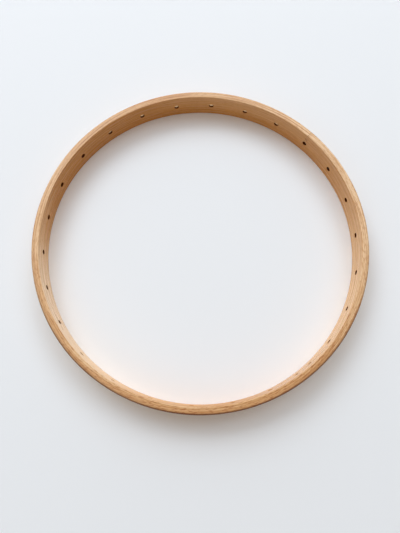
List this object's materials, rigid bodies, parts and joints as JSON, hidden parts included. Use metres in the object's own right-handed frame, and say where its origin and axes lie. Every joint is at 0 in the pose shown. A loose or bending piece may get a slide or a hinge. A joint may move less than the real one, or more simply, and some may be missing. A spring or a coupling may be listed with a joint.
{
  "type": "circular weaving loom",
  "caption": "Round weaving loom: a bent beech hoop with radial warp holes through its wall, closed by a pinned and glued butt joint.",
  "frame": {"origin": "middle of the hoop, on the surface that its back edge lies on", "axes": "+Z along the hoop's axis, from the back edge up to the front edge; the glued joint lies halfway between +X and +Y"},
  "size_m": [0.3, 0.3, 0.025],
  "materials": {
    "oiled_beech": "satin, lightly oiled",
    "bare_beech": "matte, bare"
  },
  "bodies": {
    "root": {"hoop_strip": "oiled_beech", "joint_dowel_front": "bare_beech", "joint_dowel_back": "bare_beech"}
  },
  "joints": []
}
